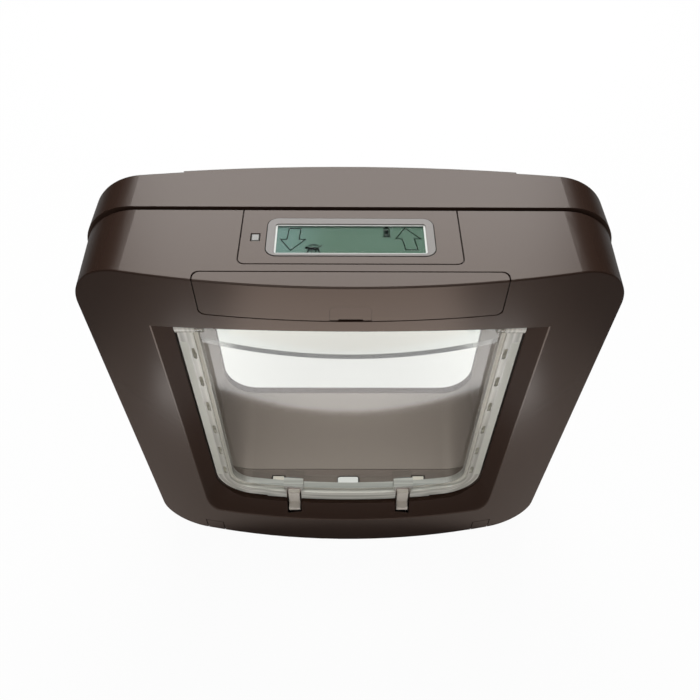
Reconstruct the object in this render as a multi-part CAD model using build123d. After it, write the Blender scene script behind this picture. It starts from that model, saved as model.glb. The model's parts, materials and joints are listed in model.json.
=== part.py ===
from build123d import *
import os

# Cat flap with a display: an inner housing and an outer frame that clamp a door between them,
# a tunnel through both, and a clear flap that hangs in the tunnel.
# X runs to the right seen from indoors, Y runs outdoors, Z runs up.
# The origin is the middle of the tunnel frame, half way through the door gap. All sizes in mm.

# Frames
FRAME_WIDTH = 210.0
FRAME_HEIGHT = 210.0
FRAME_CORNER = 22.0
FRAME_WALL = 2.5
SIDE_FLARE = 2.4
OUTER_FLARE = 2.6
DOOR_GAP = 2.1
INNER_DEPTH = 42.7
FRONT_BOW_RADIUS = 436.0
FRONT_EDGE_ROUND = 0.6
OUTER_DEPTH = 26.2
BACK_BOW_RADIUS = 700.0
BACK_EDGE_ROUND = 0.5
HOOD_WIDTH = 136.0
HOOD_RISE = 0.4
SEAM = 0.3
COVER_SEAM = 0.45
OVERCUT = 1.0

# Tunnel and the opening in the front
FRAME_SIDE = 34.6
TUNNEL_CORNER = 17.0
TUNNEL_WALL = 2.0
LINTEL_DROP = 23.5
SLEEVE_STEP = 4.5
COLLAR_END_Y = -18.2
SLEEVE_END_Y = 26.5
LIP_END_Y = 29.5
SLEEVE_CLEARANCE = 0.4
REVEAL_RUN = 7.4
OPENING_CORNER = 18.0
OPENING_ARCH = 4.9
SILL_HEIGHT = 40.0
SILL_DROP = 12.8
REVEAL_DEPTH = 3.7
REVEAL_WALL = 2.6
SILL_BACK = 6.5

# Flap
HINGE_DROP = 9.5
HINGE_Y = -29.3
FLAP_SIDE_GAP = 0.8
FLAP_FLOOR_GAP = 2.0
FLAP_CORNER = 17.5
FLAP_SETBACK = 5.7
FLAP_DEPTH = 7.5
SHEET_THICKNESS = 2.0
UPPER_SHEET_THICKNESS = 4.4
RIM_WIDTH = 8.2
RIM_HEIGHT = 8.0
REBATE_WIDTH = 1.5
REBATE_DEPTH = 2.1
FLAP_HEAD = 4.0
FLAP_HEAD_CORNER = 3.0
STEP_END_DROP = 12.6
STEP_SAG = 5.7
STRIP_WIDTH = 3.4
STRIP_TOP_DROP = 10.0
STRIP_BOTTOM_RISE = 17.5
SLOT_LENGTH = 7.0
SLOT_WIDTH = 1.7
SLOT_DEPTH = 3.2
SLOT_PITCH = 19.4
SLOT_COUNT = 6
SLOT_INSET = 5.2
KEEPER_WIDTH = 10.4
KEEPER_HEIGHT = 3.0
KEEPER_SETBACK = 0.5
KEEPER_ARCH = 1.5
LIP_WIDTH = 88.4
LIP_DROP = 0.9
LUG_RADIUS = 4.5
LUG_LENGTH = 11.0
PIN_RADIUS = 1.6
PIN_LENGTH = 14.0
PIN_CLEARANCE = 0.05
BUSH_RADIUS = 2.4
BUSH_LENGTH = 4.0

# Catches
CATCH_WIDTH = 6.0
CATCH_SLOT_GAP = 0.8
CATCH_LIFT = 5.0
FRONT_CATCH_X = 29.5
FRONT_CATCH_Y = -34.5
FRONT_CATCH_THICKNESS = 2.5
FRONT_CATCH_REACH = 4.0
FRONT_CATCH_FOOT = 3.6
NOTCH_WIDTH = 8.0
REAR_CATCH_X = 39.0
REAR_CATCH_Y = -24.1
REAR_CATCH_THICKNESS = 4.0
REAR_CATCH_SINK = 0.2
CATCH_BAR_HEIGHT = 4.0
FRONT_BAR_DROP = 22.6
REAR_BAR_DROP = 22.6
PLUNGER_RADIUS = 2.2
PLUNGER_LENGTH = 7.4
PLUNGER_CLEARANCE = 0.06
ACTUATOR_WIDTH = 14.0
ACTUATOR_DEPTH = 9.0
ACTUATOR_GAP = 0.8
ACTUATOR_ROUND = 1.5
REAR_ACTUATOR_X = 20.0

# Drain slot in the tunnel floor
DRAIN_WIDTH = 12.4
DRAIN_FRONT_Y = -29.0
DRAIN_BACK_Y = -22.1
DRAIN_CORNER = 2.0
DRAIN_SLOPE = 0.55
DRAIN_WALL = 1.5
DRAIN_END_RISE = 7.0

# Control panel and display
PANEL_WIDTH = 82.0
PANEL_FRONT_Y = -30.5
PANEL_CORNER = 2.5
PANEL_THICKNESS = 1.5
PANEL_LEDGE = 1.5
BEZEL_WIDTH = 62.6
BEZEL_FRONT_Y = -26.5
BEZEL_BACK_Y = -6.0
BEZEL_CORNER = 4.0
BEZEL_THICKNESS = 1.0
BEZEL_RISE = 0.2
DISPLAY_WIDTH = 56.6
DISPLAY_FRONT_Y = -25.4
DISPLAY_BACK_Y = -9.1
DISPLAY_CORNER = 1.0
GLASS_THICKNESS = 0.4
GLASS_SINK = 0.3
MODULE_THICKNESS = 2.4
MODULE_MARGIN = 0.4
BOARD_THICKNESS = 1.0
BOARD_MARGIN = 1.0
BOARD_FRONT_Y = -27.0
BOARD_BACK_Y = -4.5
POST_RADIUS = 1.4
POST_INSET = 2.4
SENSOR_X = -35.6
SENSOR_Y = -16.5
SENSOR_WIDTH = 3.0
SENSOR_LENGTH = 3.6

# Battery bay
COVER_WIDTH = 113.6
COVER_TOP_Y = -34.4
COVER_HEIGHT = 18.0
COVER_THICKNESS = 2.2
COVER_CORNER = 2.5
COVER_LEDGE = 1.4
RECESS_WIDTH = 15.5
RECESS_HEIGHT = 8.1
RECESS_DEPTH = 0.3
NICK_WIDTH = 9.1
NICK_HEIGHT = 0.6
CELL_RADIUS = 7.1
CELL_LENGTH = 49.3
CELL_NUB_RADIUS = 2.6
CELL_NUB = 1.0
CELL_PITCH = 14.4
CELL_ROWS = 2
CELL_GAP = 8.6
CONTACT_THICKNESS = 0.4
CONTACT_WIDTH = 9.0
CONTACT_HEIGHT = 12.0
TRAY_WALL = 1.0
TRAY_HEIGHT = 13.0

# Reader coil round the sleeve
COIL_THICKNESS = 3.5
COIL_FRONT_Y = -15.0
COIL_BACK_Y = -6.0
COIL_CLEARANCE = 0.3

# Screws and their covers
SCREW_INSET = 28.0
SCREW_RISE = 6.5
SCREW_RADIUS = 2.0
SCREW_HEAD_RADIUS = 2.8
SCREW_HEAD = 2.5
SCREW_LENGTH = 20.0
SCREW_SEAT_Y = -5.7
SCREW_CLEARANCE = 0.2
BOSS_WALL = 1.5
SCREW_COVER_WIDTH = 10.4
SCREW_COVER_HEIGHT = 10.4
SCREW_COVER_DEPTH = 1.4
SCREW_ACCESS_RADIUS = 3.2
PLATE_THICKNESS = 2.5
PLATE_CLEARANCE = 0.2
CASE_SCREW_INSET = 13.0
CASE_SCREW_RADIUS = 1.5
CASE_SCREW_HEAD_RADIUS = 2.8
CASE_SCREW_HEAD = 1.4
CASE_SCREW_LENGTH = 10.0

# Places worked out from the sizes above
TOP = FRAME_HEIGHT / 2
BOTTOM = -FRAME_HEIGHT / 2
CEILING_Z = TOP - LINTEL_DROP
SLEEVE_CEILING_Z = CEILING_Z - SLEEVE_STEP
HINGE_Z = CEILING_Z - HINGE_DROP
FLAP_BOTTOM = BOTTOM + SILL_HEIGHT
FLAP_LENGTH = HINGE_Z - FLAP_BOTTOM
TUNNEL_WIDTH = FRAME_WIDTH - 2 * FRAME_SIDE
OPENING_WIDTH = TUNNEL_WIDTH + 2 * REVEAL_RUN
FLAP_WIDTH = TUNNEL_WIDTH - 2 * FLAP_SIDE_GAP
TUNNEL_RADIUS = FLAP_LENGTH + FLAP_FLOOR_GAP
FLOOR_Z = HINGE_Z - TUNNEL_RADIUS
INNER_BACK_Y = -DOOR_GAP / 2
OUTER_FRONT_Y = DOOR_GAP / 2
FRONT_Y = -INNER_DEPTH
BOW_CENTRE_Y = FRONT_Y + FRONT_BOW_RADIUS
SIDE_START_Y = FRONT_Y + FRAME_WIDTH ** 2 / (8 * FRONT_BOW_RADIUS)
PLATE_FRONT_Y = INNER_BACK_Y - PLATE_THICKNESS
SILL_FRONT_Z = FLOOR_Z - SILL_DROP
REACH = FRAME_WIDTH + FRAME_HEIGHT
FRONT_BAR_TOP = FLOOR_Z - FRONT_BAR_DROP
REAR_BAR_TOP = FLOOR_Z - REAR_BAR_DROP
TRAY_FLOOR_Z = CEILING_Z + TUNNEL_WALL
CELL_Z = TRAY_FLOOR_Z + TRAY_WALL + CELL_RADIUS
COVER_BOTTOM_Z = TOP - COVER_HEIGHT
SCREW_X = FRAME_WIDTH / 2 - SCREW_INSET
SCREW_PLACES = [(-SCREW_X, BOTTOM + SCREW_RISE), (SCREW_X, BOTTOM + SCREW_RISE), (0, CELL_Z)]
BOARD_WIDTH = PANEL_WIDTH - 2 * PANEL_LEDGE - 2 * BOARD_MARGIN
MODULE_TOP_Z = TOP + BEZEL_RISE - BEZEL_THICKNESS
BOARD_TOP_Z = MODULE_TOP_Z - MODULE_THICKNESS


def block(x_range, y_range, z_range):
    """Box between two limits on each axis."""
    low, high = zip(x_range, y_range, z_range)
    size = [b - a for a, b in zip(low, high)]
    middle = [(a + b) / 2 for a, b in zip(low, high)]
    return Pos(*middle) * Box(*size)


def prism_y(sketch, start, end):
    """Extrude a front-view sketch, drawn in X and Z, from one depth to another."""
    return extrude(Plane.XZ.offset(-start) * sketch, amount=start - end)


def prism_z(sketch, start, end):
    """Extrude a plan-view sketch, drawn in X and Y, between two heights."""
    return extrude(Plane.XY.offset(start) * sketch, amount=end - start)


def rod_x(radius, start, end, y, z):
    """Round rod along X."""
    return Pos((start + end) / 2, y, z) * Rot(0, 90, 0) * Cylinder(radius, abs(end - start))


def rod_y(radius, start, end, x, z):
    """Round rod along Y."""
    return Pos(x, (start + end) / 2, z) * Rot(90, 0, 0) * Cylinder(radius, abs(end - start))


def rod_z(radius, start, end, x, y):
    """Round rod along Z."""
    return Pos(x, y, (start + end) / 2) * Cylinder(radius, abs(end - start))


def mirrored(solid):
    """The same piece on the other side of the middle."""
    return solid.mirror(Plane.YZ)


def behind_front(inset):
    """Everything behind the bowed front face, moved in by an inset."""
    return Pos(0, BOW_CENTRE_Y, 0) * Cylinder(FRONT_BOW_RADIUS - inset, REACH)


def before_back(apex):
    """Everything on the indoor side of the bowed outdoor face with its apex at a depth."""
    return Pos(0, apex - BACK_BOW_RADIUS, 0) * Cylinder(BACK_BOW_RADIUS, REACH)


def frame_outline(inset, flare, corner):
    """Rounded square of the frames, moved in by an inset, with its sides moved out by a flare."""
    width = FRAME_WIDTH + 2 * (flare - inset)
    return RectangleRounded(width, FRAME_HEIGHT - 2 * inset, corner - inset)


def swing_space(grow):
    """Wheel-shaped space round the hinge axis that the flap sweeps, grown by a wall."""
    radius = TUNNEL_RADIUS + grow
    half = TUNNEL_WIDTH / 2 + grow
    wheel = rod_x(radius, -half, half, HINGE_Y, HINGE_Z)
    return fillet(wheel.edges().filter_by(GeomType.CIRCLE), TUNNEL_CORNER + grow)


def tunnel_part(grow, start, end, ceiling):
    """Length of the tunnel space between two depths, below a ceiling."""
    limits = block((-REACH, REACH), (start, end), (BOTTOM, ceiling + grow))
    return swing_space(grow) & limits


def inner_form(inset):
    """Outer form of the inner housing, moved in by an inset: its sides flare out to the door."""
    start = FRONT_Y - OVERCUT
    start_flare = SIDE_FLARE * (start - SIDE_START_Y) / (INNER_BACK_Y - SIDE_START_Y)
    front = Plane.XZ.offset(-start) * frame_outline(inset, start_flare, FRAME_CORNER + start_flare)
    back = Plane.XZ.offset(-INNER_BACK_Y) * frame_outline(inset, SIDE_FLARE, FRAME_CORNER + SIDE_FLARE)
    return loft([front, back], ruled=True) & behind_front(inset)


def rounded_inner_form():
    """Inner housing's outer form with its front edge rounded."""
    form = inner_form(0)
    front = form.faces().sort_by(Axis.Y)[0]
    return fillet(front.edges(), FRONT_EDGE_ROUND)


def is_mitre(edge):
    """True for the slanting lower edges where the reveal's sides meet its sill."""
    slanted = min(edge.bounding_box().size) > SEAM
    return slanted and edge.center().Z < FLOOR_Z + TUNNEL_CORNER


def opening_reveal():
    """Tool that cuts the opening's sloping reveal: slanted sides, sill and an arched lintel."""
    half = OPENING_WIDTH / 2
    throat = TUNNEL_WIDTH / 2
    side_y = BOW_CENTRE_Y - (FRONT_BOW_RADIUS ** 2 - half ** 2) ** 0.5
    run = half - throat
    inner_y = side_y + REVEAL_DEPTH
    wide_y = side_y - 2 * REVEAL_DEPTH
    sides = prism_z(
        make_face(Polyline(
            (-throat, inner_y), (-half - 2 * run, wide_y), (-half - 2 * run, -REACH),
            (half + 2 * run, -REACH), (half + 2 * run, wide_y), (throat, inner_y), close=True)),
        -REACH, REACH)
    slope = SILL_DROP / REVEAL_DEPTH
    sill = make_face(Polyline(
        (FRONT_Y + 4 * REVEAL_DEPTH, SILL_FRONT_Z + 4 * SILL_DROP),
        (FRONT_Y - 2 * REVEAL_DEPTH, SILL_FRONT_Z - 2 * REVEAL_DEPTH * slope),
        (FRONT_Y - 2 * REVEAL_DEPTH, TOP), (FRONT_Y + 4 * REVEAL_DEPTH, TOP), close=True))
    bow_axis = Axis((0, BOW_CENTRE_Y, 0), (0, 0, 1))
    above_sill = revolve(Plane.YZ * sill, axis=bow_axis, revolution_arc=30).rotate(bow_axis, -15)
    spring = CEILING_Z - OPENING_ARCH
    arch = make_face([
        ThreePointArc((-half, spring), (0, CEILING_Z), (half, spring)),
        Polyline((half, spring), (2 * half, spring), (2 * half, BOTTOM), (-2 * half, BOTTOM),
                 (-2 * half, spring), (-half, spring))])
    below_lintel = prism_y(arch, FRONT_Y - REACH, 0)
    tool = sides & above_sill & below_lintel
    mitres = [e for e in tool.edges() if is_mitre(e)]
    return fillet(mitres, OPENING_CORNER)


def catch_slots():
    """Slots in the sill and the tunnel floor that the catches stand in."""
    half = CATCH_WIDTH / 2 + CATCH_SLOT_GAP
    front_y = FRONT_CATCH_Y - FRONT_CATCH_THICKNESS / 2 - FRONT_CATCH_FOOT - CATCH_SLOT_GAP
    back_y = FRONT_CATCH_Y + FRONT_CATCH_THICKNESS / 2 + CATCH_SLOT_GAP
    deep = (SILL_FRONT_Z - REVEAL_WALL - OVERCUT, FLOOR_Z + CATCH_LIFT)
    rear = REAR_CATCH_THICKNESS / 2 + CATCH_SLOT_GAP / 2
    slots = []
    for side in (-1, 1):
        x = side * FRONT_CATCH_X
        slots.append(block((x - half, x + half), (front_y, back_y), deep))
        x = side * REAR_CATCH_X
        slots.append(block((x - half, x + half), (REAR_CATCH_Y - rear, REAR_CATCH_Y + rear), deep))
    return slots


def drain_chute(grow, top):
    """Sloping duct from the slot in the tunnel floor to the underside."""
    end = BOTTOM + DRAIN_END_RISE
    drop = FLOOR_Z - end
    shift = drop * DRAIN_SLOPE
    outline = make_face(Polyline(
        (DRAIN_FRONT_Y - grow, top), (DRAIN_BACK_Y + grow, top),
        (DRAIN_BACK_Y + grow + shift, end), (DRAIN_FRONT_Y - grow + shift, end), close=True))
    half = DRAIN_WIDTH / 2 + grow
    return extrude(Plane.YZ.offset(-half) * outline, amount=2 * half)


def make_inner_housing():
    housing = rounded_inner_form() - inner_form(FRAME_WALL)
    # Solid reveal round the opening, and the collar of the tunnel behind it
    half = OPENING_WIDTH / 2 + REVEAL_WALL
    side_back = HINGE_Y - LUG_RADIUS + REVEAL_DEPTH
    skin = behind_front(FRAME_WALL / 2)
    low = SILL_FRONT_Z - REVEAL_WALL
    high = CEILING_Z + TUNNEL_WALL
    for side in (-1, 1):
        x_range = sorted((side * TUNNEL_WIDTH / 2, side * half))
        housing += block(x_range, (-REACH, side_back), (low, high)) & skin
    sill = block((-half, half), (-REACH, COLLAR_END_Y), (low, FLOOR_Z + TUNNEL_CORNER)) & skin
    housing += sill - behind_front(SILL_BACK) - swing_space(0)
    housing += tunnel_part(TUNNEL_WALL, -REACH, COLLAR_END_Y, CEILING_Z) & skin
    housing += drain_chute(DRAIN_WALL, FLOOR_Z - TUNNEL_WALL / 2)
    housing -= tunnel_part(0, -REACH, COLLAR_END_Y, CEILING_Z) & behind_front(FRAME_WALL)
    housing -= opening_reveal()
    for slot in catch_slots():
        housing -= slot
    # Drain: slot with rounded back corners, duct and way out at the lower back edge
    drain = Pos(0, (DRAIN_FRONT_Y + DRAIN_BACK_Y) / 2) * RectangleRounded(
        DRAIN_WIDTH, DRAIN_BACK_Y - DRAIN_FRONT_Y, DRAIN_CORNER)
    housing -= prism_z(drain, FLOOR_Z - TUNNEL_WALL, FLOOR_Z + TUNNEL_WALL)
    housing -= drain_chute(0, FLOOR_Z - TUNNEL_WALL / 2)
    out_y = DRAIN_FRONT_Y + (FLOOR_Z - BOTTOM) * DRAIN_SLOPE
    drain_half = DRAIN_WIDTH / 2
    way_out = (BOTTOM - OVERCUT, BOTTOM + FRAME_WALL)
    housing -= block((-drain_half, drain_half), (out_y, 0), way_out)
    # Hinge bushes
    for side in (-1, 1):
        wall = side * TUNNEL_WIDTH / 2
        housing -= rod_x(BUSH_RADIUS, wall - side * OVERCUT, wall + side * BUSH_LENGTH, HINGE_Y, HINGE_Z)
    # Seat of the control panel
    housing -= prism_z(panel_outline(COVER_SEAM), TOP - PANEL_THICKNESS, TOP + OVERCUT)
    housing -= prism_z(panel_outline(-PANEL_LEDGE), TOP - 2 * FRAME_WALL, TOP + OVERCUT)
    # Battery bay: opening for the cover with a ledge behind it
    housing -= cover_space(COVER_SEAM)
    housing += cover_ledge()
    # Access holes and pockets of the screw covers, and bosses for the case screws
    for x, z in SCREW_PLACES[:2]:
        housing -= screw_cover_space(x, COVER_SEAM)
        housing -= rod_y(SCREW_ACCESS_RADIUS, FRONT_Y, FRONT_Y + INNER_DEPTH / 2, x, z)
    for x, z in case_screw_places():
        boss = rod_y(CASE_SCREW_RADIUS + BOSS_WALL, -REACH / 4, PLATE_FRONT_Y, x, z)
        housing += boss & inner_form(FRAME_WALL / 2)
        housing -= rod_y(CASE_SCREW_RADIUS, PLATE_FRONT_Y - CASE_SCREW_LENGTH, 0, x, z)
    return housing


def case_screw_places():
    """Corners where the back plate is screwed to the inner housing."""
    x = FRAME_WIDTH / 2 - CASE_SCREW_INSET
    z = FRAME_HEIGHT / 2 - CASE_SCREW_INSET
    return [(sx * x, sz * z) for sx in (-1, 1) for sz in (-1, 1)]


def make_inner_back_plate():
    depth = (PLATE_FRONT_Y, INNER_BACK_Y)
    plate = inner_form(FRAME_WALL + PLATE_CLEARANCE) & block((-REACH, REACH), depth, (-REACH, REACH))
    start = COLLAR_END_Y + SEAM
    plate += tunnel_part(TUNNEL_WALL, start, SLEEVE_END_Y, SLEEVE_CEILING_Z)
    for x, z in SCREW_PLACES:
        seat = SCREW_SEAT_Y if z < 0 else SCREW_SEAT_Y + TRAY_WALL
        plate += rod_y(SCREW_RADIUS + BOSS_WALL, seat, PLATE_FRONT_Y, x, z)
    plate -= tunnel_part(0, start - OVERCUT, SLEEVE_END_Y + OVERCUT, SLEEVE_CEILING_Z)
    for x, z in SCREW_PLACES:
        plate -= rod_y(SCREW_RADIUS + SCREW_CLEARANCE, SCREW_SEAT_Y - OVERCUT, 0, x, z)
    for x, z in case_screw_places():
        seat = INNER_BACK_Y - CASE_SCREW_HEAD
        plate -= rod_y(CASE_SCREW_RADIUS + SCREW_CLEARANCE, PLATE_FRONT_Y - OVERCUT, 0, x, z)
        plate -= rod_y(CASE_SCREW_HEAD_RADIUS + SCREW_CLEARANCE, seat, 0, x, z)
    notch = DRAIN_WIDTH / 2 + DRAIN_WALL
    plate -= block((-notch, notch), (PLATE_FRONT_Y - OVERCUT, 0), (BOTTOM, BOTTOM + DRAIN_END_RISE))
    return plate


def make_outer_frame():
    slab = prism_y(frame_outline(0, OUTER_FLARE, FRAME_CORNER), OUTER_FRONT_Y, OUTER_DEPTH + HOOD_RISE)
    form = slab & before_back(OUTER_DEPTH)
    back = form.faces().sort_by(Axis.Y)[-1]
    form = fillet(back.edges(), BACK_EDGE_ROUND)
    hood = block((-HOOD_WIDTH / 2, HOOD_WIDTH / 2), (OUTER_FRONT_Y, REACH), (BOTTOM + FRAME_CORNER, TOP))
    form += hood & before_back(OUTER_DEPTH + HOOD_RISE)
    cavity = prism_y(frame_outline(FRAME_WALL, OUTER_FLARE, FRAME_CORNER), 0, OUTER_DEPTH)
    frame = form - (cavity & before_back(OUTER_DEPTH - FRAME_WALL))
    outside = SLEEVE_CLEARANCE + 2 * TUNNEL_WALL
    frame += tunnel_part(outside, OUTER_FRONT_Y, LIP_END_Y, SLEEVE_CEILING_Z)
    inside_back = before_back(OUTER_DEPTH - FRAME_WALL / 2)
    for x, z in SCREW_PLACES:
        boss = rod_y(SCREW_RADIUS + BOSS_WALL, OUTER_FRONT_Y + DOOR_GAP, OUTER_DEPTH, x, z)
        frame += boss & inside_back
    bore = SLEEVE_CLEARANCE + TUNNEL_WALL
    frame -= tunnel_part(bore, 0, SLEEVE_END_Y + SEAM, SLEEVE_CEILING_Z)
    frame -= tunnel_part(0, OUTER_FRONT_Y, LIP_END_Y + OVERCUT, SLEEVE_CEILING_Z)
    for x, z in SCREW_PLACES:
        frame -= rod_y(SCREW_RADIUS, 0, SCREW_SEAT_Y + SCREW_LENGTH + OVERCUT, x, z)
    return frame


def panel_outline(grow):
    """Plan of the control panel: it runs back to the door gap, its front corners are rounded."""
    half = PANEL_WIDTH / 2 + grow
    front = PANEL_FRONT_Y - grow
    back = INNER_BACK_Y if grow <= 0 else INNER_BACK_Y + OVERCUT
    back = back - PANEL_LEDGE if grow < 0 else back
    outline = Pos(0, (front + back) / 2) * Rectangle(2 * half, back - front)
    return fillet(outline.vertices().group_by(Axis.Y)[0], PANEL_CORNER + max(grow, 0))


def plan_rectangle(width, front, back, corner, grow):
    """Rounded rectangle in plan, centred on the middle of the width."""
    size = (width + 2 * grow, back - front + 2 * grow)
    return Pos(0, (front + back) / 2) * RectangleRounded(*size, corner + grow)


def bezel_outline(grow):
    return plan_rectangle(BEZEL_WIDTH, BEZEL_FRONT_Y, BEZEL_BACK_Y, BEZEL_CORNER, grow)


def display_outline(grow):
    return plan_rectangle(DISPLAY_WIDTH, DISPLAY_FRONT_Y, DISPLAY_BACK_Y, DISPLAY_CORNER, grow)


def make_control_panel():
    under = TOP - PANEL_THICKNESS
    panel = prism_z(panel_outline(0), under, TOP)
    for x in (-1, 1):
        for y in (BOARD_FRONT_Y + POST_INSET, BOARD_BACK_Y - POST_INSET):
            panel += rod_z(POST_RADIUS, BOARD_TOP_Z, under, x * (BOARD_WIDTH / 2 - POST_INSET), y)
    panel -= prism_z(bezel_outline(SEAM), under - OVERCUT, TOP + OVERCUT)
    size = (SENSOR_WIDTH + 2 * SEAM, SENSOR_LENGTH + 2 * SEAM)
    panel -= prism_z(Pos(SENSOR_X, SENSOR_Y) * Rectangle(*size), under - OVERCUT, TOP + OVERCUT)
    return panel


def make_lcd_bezel():
    top = TOP + BEZEL_RISE
    bezel = prism_z(bezel_outline(0), MODULE_TOP_Z, top)
    return bezel - prism_z(display_outline(0), MODULE_TOP_Z - OVERCUT, top + OVERCUT)


def make_lcd_glass():
    top = TOP - GLASS_SINK
    return prism_z(display_outline(0), top - GLASS_THICKNESS, top)


def make_lcd_module():
    return prism_z(display_outline(MODULE_MARGIN), BOARD_TOP_Z, MODULE_TOP_Z)


def make_control_board():
    half = BOARD_WIDTH / 2
    z_range = (BOARD_TOP_Z - BOARD_THICKNESS, BOARD_TOP_Z)
    return block((-half, half), (BOARD_FRONT_Y, BOARD_BACK_Y), z_range)


def make_light_sensor():
    pipe = prism_z(Pos(SENSOR_X, SENSOR_Y) * Rectangle(SENSOR_WIDTH, SENSOR_LENGTH), BOARD_TOP_Z, TOP)
    return chamfer(pipe.faces().sort_by(Axis.Z)[-1].edges(), SEAM)


def cover_space(grow):
    """Room that the battery cover takes up on the top front edge of the housing."""
    half = COVER_WIDTH / 2 - COVER_SEAM + grow
    front = Pos(0, COVER_BOTTOM_Z + COVER_SEAM - grow + REACH / 2) * Rectangle(2 * half, REACH)
    front = fillet(front.vertices().group_by(Axis.Y)[0], COVER_CORNER)
    plan = Pos(0, COVER_TOP_Y - COVER_SEAM + grow - REACH / 2) * Rectangle(2 * half, REACH)
    plan = fillet(plan.vertices().group_by(Axis.Y)[-1], COVER_CORNER)
    return prism_y(front, -REACH, 0) & prism_z(plan, -REACH, REACH)


def cover_ledge():
    """Rim inside the housing that the cover seats on."""
    skin = inner_form(COVER_THICKNESS + SEAM) - inner_form(COVER_THICKNESS + SEAM + COVER_LEDGE)
    outside = cover_space(COVER_SEAM + COVER_LEDGE)
    half = COVER_WIDTH / 2 - COVER_LEDGE
    front = (-REACH, COVER_TOP_Y - COVER_LEDGE)
    inside = block((-half, half), front, (COVER_BOTTOM_Z + COVER_LEDGE, REACH))
    return skin & (outside - inside)


def make_battery_cover():
    cover = (rounded_inner_form() - inner_form(COVER_THICKNESS)) & cover_space(0)
    scoop = Pos(0, COVER_BOTTOM_Z) * Rectangle(RECESS_WIDTH, 2 * RECESS_HEIGHT)
    scoop = fillet(scoop.vertices().group_by(Axis.Y)[-1], RECESS_HEIGHT / 3)
    cover -= prism_y(scoop, -REACH, 0) - behind_front(RECESS_DEPTH)
    nick = (COVER_BOTTOM_Z, COVER_BOTTOM_Z + COVER_SEAM + NICK_HEIGHT)
    return cover - block((-NICK_WIDTH / 2, NICK_WIDTH / 2), (-REACH, 0), nick)


def cell_rows():
    """Depth of each row of cells, the front row first."""
    back_row = SCREW_SEAT_Y - CELL_PITCH / 2
    return [back_row - row * CELL_PITCH for row in reversed(range(CELL_ROWS))]


def make_battery_tray():
    half = CELL_GAP / 2 + CELL_LENGTH + CELL_NUB + 2 * CONTACT_THICKNESS
    front = cell_rows()[0] - CELL_PITCH / 2
    back = SCREW_SEAT_Y
    z_range = (TRAY_FLOOR_Z, TRAY_FLOOR_Z + TRAY_HEIGHT)
    tray = block((-half - TRAY_WALL, half + TRAY_WALL), (front, back + TRAY_WALL), z_range)
    tray -= block((-half, half), (front - OVERCUT, back), (TRAY_FLOOR_Z + TRAY_WALL, TOP))
    tray += rod_y(SCREW_RADIUS + BOSS_WALL, back, back + TRAY_WALL, 0, CELL_Z)
    return tray - rod_y(SCREW_RADIUS + SCREW_CLEARANCE, back - OVERCUT, 0, 0, CELL_Z)


def make_cells():
    """One AA cell for each half of each row, neighbours head to tail."""
    cells = []
    inner = CELL_GAP / 2 + CONTACT_THICKNESS
    outer = inner + CELL_LENGTH + CELL_NUB
    for row, y in enumerate(cell_rows()):
        for side in (-1, 1):
            nub_out = (row + (side > 0)) % 2 == 0
            can = (inner, outer - CELL_NUB) if nub_out else (inner + CELL_NUB, outer)
            nub = (outer - CELL_NUB, outer) if nub_out else (inner, inner + CELL_NUB)
            cell = rod_x(CELL_RADIUS, side * can[0], side * can[1], y, CELL_Z)
            cells.append(cell + rod_x(CELL_NUB_RADIUS, side * nub[0], side * nub[1], y, CELL_Z))
    return cells


def make_battery_contacts():
    """Contact plates that stand on the tray floor at both ends of each cell."""
    plates = []
    inner = CELL_GAP / 2
    outer = inner + CELL_LENGTH + CELL_NUB + CONTACT_THICKNESS
    low = TRAY_FLOOR_Z + TRAY_WALL
    for y in cell_rows():
        for start in (inner, outer):
            for side in (-1, 1):
                x_range = sorted((side * start, side * (start + CONTACT_THICKNESS)))
                y_range = (y - CONTACT_WIDTH / 2, y + CONTACT_WIDTH / 2)
                plates.append(block(x_range, y_range, (low, low + CONTACT_HEIGHT)))
    return Compound(children=plates)


def make_antenna_coil():
    """Flat winding round the tunnel sleeve."""
    inner = TUNNEL_WALL + COIL_CLEARANCE
    low = FLOOR_Z - inner
    high = SLEEVE_CEILING_Z + inner
    width = TUNNEL_WIDTH + 2 * inner
    middle = Pos(0, (low + high) / 2)
    hole = middle * Rectangle(width, high - low)
    hole = fillet(hole.vertices().group_by(Axis.Y)[0], TUNNEL_CORNER)
    ring = middle * Rectangle(width + 2 * COIL_THICKNESS, high - low + 2 * COIL_THICKNESS)
    ring = fillet(ring.vertices().group_by(Axis.Y)[0], TUNNEL_CORNER + COIL_THICKNESS)
    ring = fillet(ring.vertices().group_by(Axis.Y)[-1], COIL_THICKNESS)
    return prism_y(ring - hole, COIL_FRONT_Y, COIL_BACK_Y)


def flap_layer(front, back):
    """Bowed layer of the flap between two depths behind its front face."""
    return behind_front(FLAP_SETBACK + front) - behind_front(FLAP_SETBACK + back)


def flap_outline():
    """Front view of the flap: large lower corners and small upper ones."""
    high = HINGE_Z + FLAP_HEAD
    outline = Pos(0, (FLAP_BOTTOM + high) / 2) * Rectangle(FLAP_WIDTH, high - FLAP_BOTTOM)
    outline = fillet(outline.vertices().group_by(Axis.Y)[0], FLAP_CORNER)
    return fillet(outline.vertices().group_by(Axis.Y)[-1], FLAP_HEAD_CORNER)


def flap_step(high):
    """Front view of the flap inside its rim, up to a straight or a sagging upper edge."""
    half = FLAP_WIDTH / 2 - RIM_WIDTH
    low = FLAP_BOTTOM + RIM_HEIGHT
    end = HINGE_Z - STEP_END_DROP
    if high:
        top = Line((half, high), (-half, high))
        end = high
    else:
        top = ThreePointArc((half, end), (0, end - STEP_SAG), (-half, end))
    corner = FLAP_CORNER - RIM_WIDTH
    sides = FilletPolyline((-half, end), (-half, low), (half, low), (half, end), radius=corner)
    return make_face([sides, top])


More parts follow.
